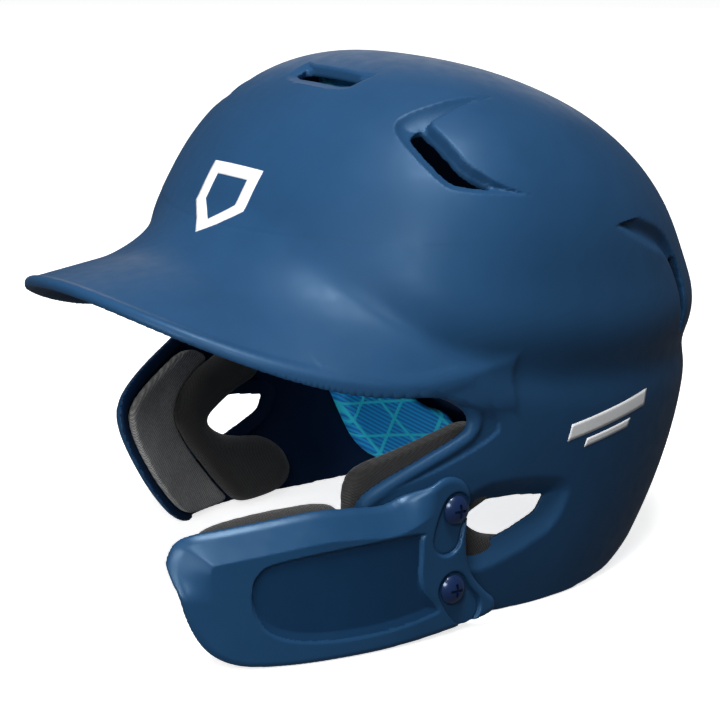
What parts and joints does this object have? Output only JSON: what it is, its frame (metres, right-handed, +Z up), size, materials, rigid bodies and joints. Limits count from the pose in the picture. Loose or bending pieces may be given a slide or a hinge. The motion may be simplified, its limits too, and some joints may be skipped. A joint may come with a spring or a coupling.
{
  "type": "batting helmet",
  "caption": "Baseball batting helmet: vented shell with arched brim and ear flaps, padded lining, and a swinging jaw guard on the left side.",
  "frame": {"origin": "middle of the head opening, on the centre plane and above the ear line, at the level the ear flaps rest on", "axes": "+Z up through the crown, the brim points to -Y, the wearer's left (jaw guard side) is +X"},
  "size_m": [0.2164, 0.2911, 0.2097],
  "materials": {
    "shell_blue": "satin, fine texture",
    "guard_blue": "satin, fine grain",
    "pad_black": "brushed knit over foam",
    "pad_knit": "ribbed knit over foam",
    "pad_cyan": "printed cyan lattice",
    "screw_metal": "glossy"
  },
  "bodies": {
    "helmet": {"shell": "shell_blue", "mount_plate": "guard_blue", "upper_nut": "screw_metal", "lower_nut": "screw_metal", "left_ear_band": "pad_knit", "right_ear_band": "pad_knit", "left_ear_cushion": "pad_black", "right_ear_cushion": "pad_black", "left_temple_pad": "pad_cyan", "right_temple_pad": "pad_cyan", "left_rear_wing": "pad_cyan", "right_rear_wing": "pad_cyan", "front_pad": "pad_cyan", "crown_pad": "pad_cyan", "rear_pad": "pad_cyan", "nape_pad": "pad_cyan"},
    "guard": {"jaw_guard": "guard_blue", "jaw_guard_pad": "pad_black"},
    "upper_screw": {"upper_screw": "screw_metal"},
    "lower_screw": {"lower_screw": "screw_metal"}
  },
  "joints": [
    {"name": "jaw_guard_swing", "type": "hinge", "parent": "helmet", "child": "guard", "pos_m": [0.105, -0.02, 0.033], "axis": [-1, 0, 0], "range_deg": [0, 20]},
    {"name": "upper_screw_turn", "type": "hinge", "parent": "helmet", "child": "upper_screw", "pos_m": [0.1, -0.04762, 0.05013], "axis": [1, 0, 0], "range_deg": [0, 360]},
    {"name": "lower_screw_turn", "type": "hinge", "parent": "helmet", "child": "lower_screw", "pos_m": [0.1, -0.04914, 0.0186], "axis": [1, 0, 0], "range_deg": [0, 360]}
  ]
}
